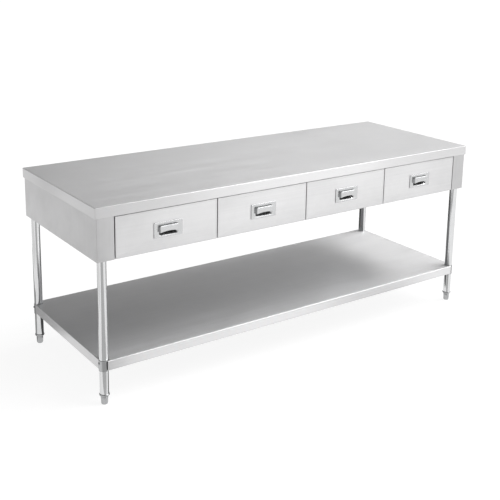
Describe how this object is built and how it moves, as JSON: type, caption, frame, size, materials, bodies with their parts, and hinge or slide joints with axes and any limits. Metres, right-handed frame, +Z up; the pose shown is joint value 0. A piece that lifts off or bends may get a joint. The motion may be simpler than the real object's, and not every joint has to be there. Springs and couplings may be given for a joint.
{
  "type": "stainless work table",
  "caption": "Long stainless steel kitchen work table with a row of drawers under the top, round tube legs, a solid undershelf and adjustable bullet feet.",
  "frame": {"origin": "floor level under the middle of the overall box, drawer pulls included", "axes": "+X along the table to the right as seen from the drawer side, -Y towards the drawer side, +Z up"},
  "size_m": [2.1, 0.7602, 0.85],
  "materials": {
    "worktop_steel": "fine brushed grain along the length",
    "panel_steel": "fine brushed grain running up and down",
    "drawer_steel": "fine brushed grain along the length",
    "shelf_steel": "satin brushed, a little duller than the top",
    "tube_steel": "bright polished tube",
    "pull_steel": "bright pressed steel",
    "foot_steel": "turned satin steel",
    "galvanised_steel": "zinc coated, dull"
  },
  "bodies": {
    "frame": {"worktop": "worktop_steel", "worktop_channel": "galvanised_steel", "left_side_panel": "panel_steel", "right_side_panel": "panel_steel", "rear_panel": "panel_steel", "front_bottom_rail": "galvanised_steel", "front_top_rail": "galvanised_steel", "drawer_divider_1": "galvanised_steel", "drawer_divider_2": "galvanised_steel", "drawer_divider_3": "galvanised_steel", "drawer_divider_4": "galvanised_steel", "drawer_divider_5": "galvanised_steel", "end_frame_left": "galvanised_steel", "end_frame_right": "galvanised_steel", "undershelf": "shelf_steel", "shelf_channel": "galvanised_steel", "leg_front_left": "tube_steel", "foot_insert_front_left": "foot_steel", "shelf_collar_front_left": "tube_steel", "leg_front_right": "tube_steel", "foot_insert_front_right": "foot_steel", "shelf_collar_front_right": "tube_steel", "leg_rear_left": "tube_steel", "foot_insert_rear_left": "foot_steel", "shelf_collar_rear_left": "tube_steel", "leg_rear_right": "tube_steel", "foot_insert_rear_right": "foot_steel", "shelf_collar_rear_right": "tube_steel", "drawer_1_outer_runner_left": "galvanised_steel", "drawer_1_outer_runner_right": "galvanised_steel", "drawer_2_outer_runner_left": "galvanised_steel", "drawer_2_outer_runner_right": "galvanised_steel", "drawer_3_outer_runner_left": "galvanised_steel", "drawer_3_outer_runner_right": "galvanised_steel", "drawer_4_outer_runner_left": "galvanised_steel", "drawer_4_outer_runner_right": "galvanised_steel"},
    "drawer_1": {"drawer_1_front": "drawer_steel", "drawer_1_box": "galvanised_steel", "drawer_1_pull": "pull_steel", "drawer_1_inner_runner_left": "galvanised_steel", "drawer_1_inner_runner_right": "galvanised_steel"},
    "drawer_2": {"drawer_2_front": "drawer_steel", "drawer_2_box": "galvanised_steel", "drawer_2_pull": "pull_steel", "drawer_2_inner_runner_left": "galvanised_steel", "drawer_2_inner_runner_right": "galvanised_steel"},
    "drawer_3": {"drawer_3_front": "drawer_steel", "drawer_3_box": "galvanised_steel", "drawer_3_pull": "pull_steel", "drawer_3_inner_runner_left": "galvanised_steel", "drawer_3_inner_runner_right": "galvanised_steel"},
    "drawer_4": {"drawer_4_front": "drawer_steel", "drawer_4_box": "galvanised_steel", "drawer_4_pull": "pull_steel", "drawer_4_inner_runner_left": "galvanised_steel", "drawer_4_inner_runner_right": "galvanised_steel"},
    "foot_front_left": {"bullet_foot_front_left": "foot_steel"},
    "foot_front_right": {"bullet_foot_front_right": "foot_steel"},
    "foot_rear_left": {"bullet_foot_rear_left": "foot_steel"},
    "foot_rear_right": {"bullet_foot_rear_right": "foot_steel"}
  },
  "joints": [
    {"name": "drawer_1_slide", "type": "slide", "parent": "frame", "child": "drawer_1", "axis": [0, -1, 0], "range_m": [0, 0.42]},
    {"name": "drawer_2_slide", "type": "slide", "parent": "frame", "child": "drawer_2", "axis": [0, -1, 0], "range_m": [0, 0.42]},
    {"name": "drawer_3_slide", "type": "slide", "parent": "frame", "child": "drawer_3", "axis": [0, -1, 0], "range_m": [0, 0.42]},
    {"name": "drawer_4_slide", "type": "slide", "parent": "frame", "child": "drawer_4", "axis": [0, -1, 0], "range_m": [0, 0.42]},
    {"name": "foot_front_left_level", "type": "slide", "parent": "frame", "child": "foot_front_left", "axis": [0, 0, -1], "range_m": [0, 0.025]},
    {"name": "foot_front_right_level", "type": "slide", "parent": "frame", "child": "foot_front_right", "axis": [0, 0, -1], "range_m": [0, 0.025]},
    {"name": "foot_rear_left_level", "type": "slide", "parent": "frame", "child": "foot_rear_left", "axis": [0, 0, -1], "range_m": [0, 0.025]},
    {"name": "foot_rear_right_level", "type": "slide", "parent": "frame", "child": "foot_rear_right", "axis": [0, 0, -1], "range_m": [0, 0.025]}
  ]
}
